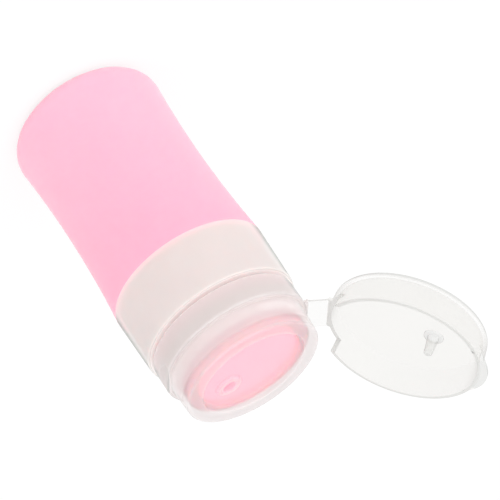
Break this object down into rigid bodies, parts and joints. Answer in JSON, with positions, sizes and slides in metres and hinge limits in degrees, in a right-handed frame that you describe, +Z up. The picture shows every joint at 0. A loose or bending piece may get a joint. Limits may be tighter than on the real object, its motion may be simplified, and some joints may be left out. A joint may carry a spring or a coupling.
{
  "type": "travel squeeze bottle",
  "caption": "Waisted soft squeeze bottle with a rigid neck collar, a clear screw cap and a strap-hinged flip lid whose pin plugs an off-centre outlet.",
  "frame": {"origin": "centre of the flat base that the bottle stands on", "axes": "+Z up along the bottle's axis, +X towards the lid's hinge, lid swung open"},
  "size_m": [0.0756, 0.043, 0.1207],
  "materials": {
    "soft_silicone": "translucent pale pink silicone, satin",
    "frosted_plastic": "frosted natural polypropylene",
    "washer_silicone": "milky white silicone, matt",
    "clear_plastic": "clear natural polypropylene, polished mould"
  },
  "bodies": {
    "bottle": {"silicone_body": "soft_silicone", "neck_collar": "frosted_plastic"},
    "washer": {"sealing_washer": "washer_silicone"},
    "cap": {"cap_base": "clear_plastic"},
    "strap": {"hinge_strap": "clear_plastic"},
    "lid": {"flip_lid": "clear_plastic"}
  },
  "joints": [
    {"name": "cap_rise", "type": "slide", "parent": "bottle", "child": "washer", "axis": [0, 0, 1], "range_m": [0, 0.006]},
    {"name": "cap_turn", "type": "hinge", "parent": "washer", "child": "cap", "pos_m": [0, 0, 0.0888], "axis": [0, 0, 1], "range_deg": [0, 720]},
    {"name": "strap_hinge", "type": "hinge", "parent": "cap", "child": "strap", "pos_m": [0.02055, 0, 0.0832], "axis": [0, 1, 0], "range_deg": [-64.87, 25.13]},
    {"name": "lid_hinge", "type": "hinge", "parent": "strap", "child": "lid", "pos_m": [0.02471, 0, 0.08515], "axis": [0, 1, 0], "range_deg": [-64.87, 25.13]}
  ],
  "couplings": [
    {"joint": "cap_rise", "follows": "cap_turn", "m_per_rad": 0.0004774},
    {"joint": "lid_hinge", "follows": "strap_hinge", "ratio": 1}
  ]
}
